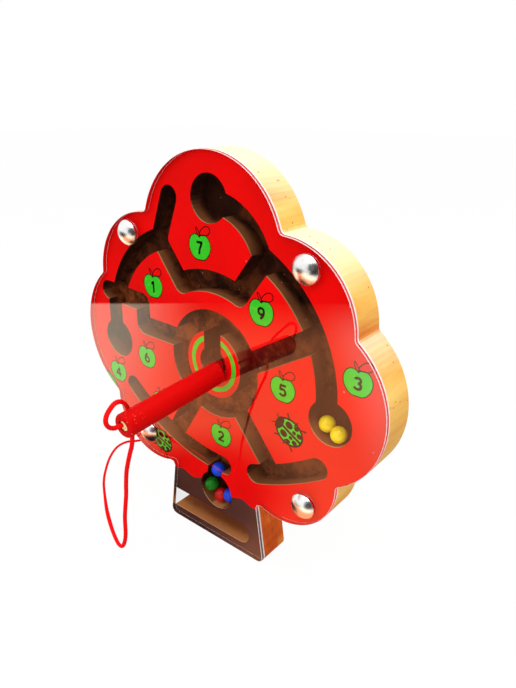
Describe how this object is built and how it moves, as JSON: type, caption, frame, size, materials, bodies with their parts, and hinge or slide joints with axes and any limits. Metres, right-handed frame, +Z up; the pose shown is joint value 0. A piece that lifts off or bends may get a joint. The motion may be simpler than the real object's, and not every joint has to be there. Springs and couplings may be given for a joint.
{
  "type": "magnetic ball maze",
  "caption": "Tree-shaped wooden ball maze under a clear cover, with steel balls in routed grooves and a tethered magnet wand that drags them along.",
  "frame": {"origin": "middle of the trunk's bottom face, halfway through the board's thickness", "axes": "+Z up the tree, the printed front looks toward -Y, +X to the right seen from the front"},
  "size_m": [0.1728, 0.0772, 0.1853],
  "materials": {
    "board_wood": "solid wood with a printed red front and bare edges",
    "clear_acrylic": "clear polished sheet",
    "bright_nail": "bright nickel plating",
    "wand_paint": "satin red paint on a wooden dowel",
    "magnet_plating": "nickel-plated disc magnet",
    "bare_wood": "bare turned wood",
    "cord_red": "soft braided cord, a little flattened",
    "ball_yellow": "gloss paint on steel",
    "ball_blue": "gloss paint on steel",
    "ball_green": "gloss paint on steel",
    "ball_red": "gloss paint on steel"
  },
  "bodies": {
    "board": {"maze_board": "board_wood", "clear_cover": "clear_acrylic", "dome_nail_upper_left": "bright_nail", "dome_nail_upper_right": "bright_nail", "dome_nail_lower_left": "bright_nail", "dome_nail_lower_right": "bright_nail", "tether_cord": "cord_red"},
    "wand": {"wand_dowel": "wand_paint", "wand_magnet": "magnet_plating", "wand_end_peg": "bare_wood"},
    "held_ball": {"ball_red_held": "ball_red"},
    "yellow_left": {"ball_yellow_left": "ball_yellow"},
    "yellow_right": {"ball_yellow_right": "ball_yellow"},
    "blue_neck": {"ball_blue_neck": "ball_blue"},
    "green_pocket": {"ball_green_pocket": "ball_green"},
    "red_pocket": {"ball_red_pocket": "ball_red"},
    "blue_pocket": {"ball_blue_pocket": "ball_blue"}
  },
  "joints": [
    {"name": "wand_lift", "type": "slide", "parent": "board", "child": "wand", "axis": [0, -1, 0], "range_m": [0, 0.08], "deforming": ["tether_cord"]},
    {"name": "held_ball_run", "type": "slide", "parent": "board", "child": "held_ball", "axis": [0, 0, 1], "range_m": [0, 0.0235]},
    {"name": "yellow_left_run", "type": "slide", "parent": "board", "child": "yellow_left", "axis": [0.1289, 0, 0.9917], "range_m": [0, 0.0205]},
    {"name": "yellow_right_run", "type": "slide", "parent": "board", "child": "yellow_right", "axis": [0, 0, 1], "range_m": [0, 0.011]},
    {"name": "blue_neck_run", "type": "slide", "parent": "board", "child": "blue_neck", "axis": [0.1547, 0, 0.988], "range_m": [0, 0.008]},
    {"name": "green_pocket_run", "type": "slide", "parent": "board", "child": "green_pocket", "axis": [0.2371, 0, 0.9715], "range_m": [0, 0.0038]},
    {"name": "blue_pocket_run", "type": "slide", "parent": "board", "child": "blue_pocket", "axis": [0.0918, 0, 0.9958], "range_m": [0, 0.0051]},
    {"name": "red_pocket_run", "type": "slide", "parent": "board", "child": "red_pocket", "axis": [0.996, 0, 0.0894], "range_m": [0, 0.004]}
  ],
  "couplings": [
    {"joint": "red_pocket_run", "follows": "blue_pocket_run", "ratio": 0.76}
  ]
}
